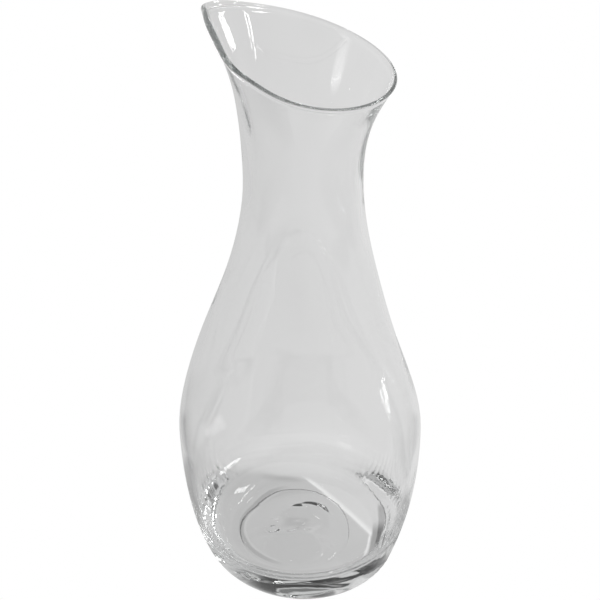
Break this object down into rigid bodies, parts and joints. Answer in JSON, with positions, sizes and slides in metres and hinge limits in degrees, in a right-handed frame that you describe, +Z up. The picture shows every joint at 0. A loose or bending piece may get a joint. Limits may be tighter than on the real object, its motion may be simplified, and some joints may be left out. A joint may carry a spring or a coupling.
{
  "type": "water carafe",
  "caption": "Clear hand-blown glass carafe with a full belly, a slim neck, a slanted flared mouth, a pulled pouring lip and a thick hollow-bottomed base.",
  "frame": {"origin": "on the vessel's axis, at the level of the ring that it stands on", "axes": "+Z up along the axis of the vessel, -X towards the pouring lip, +Y away from the viewer of the picture"},
  "size_m": [0.11, 0.11, 0.2864],
  "materials": {
    "wall_glass": "clear blown glass, slightly wavy",
    "base_glass": "clear thick glass with chill ripples at the heel",
    "rim_glass": "clear fire-polished glass",
    "scar_glass": "clear glass, broken surface"
  },
  "bodies": {
    "root": {"base": "base_glass", "belly": "wall_glass", "shoulder": "wall_glass", "neck": "wall_glass", "mouth": "wall_glass", "pouring_lip": "wall_glass", "rim": "rim_glass", "pontil_scar": "scar_glass"}
  },
  "joints": []
}
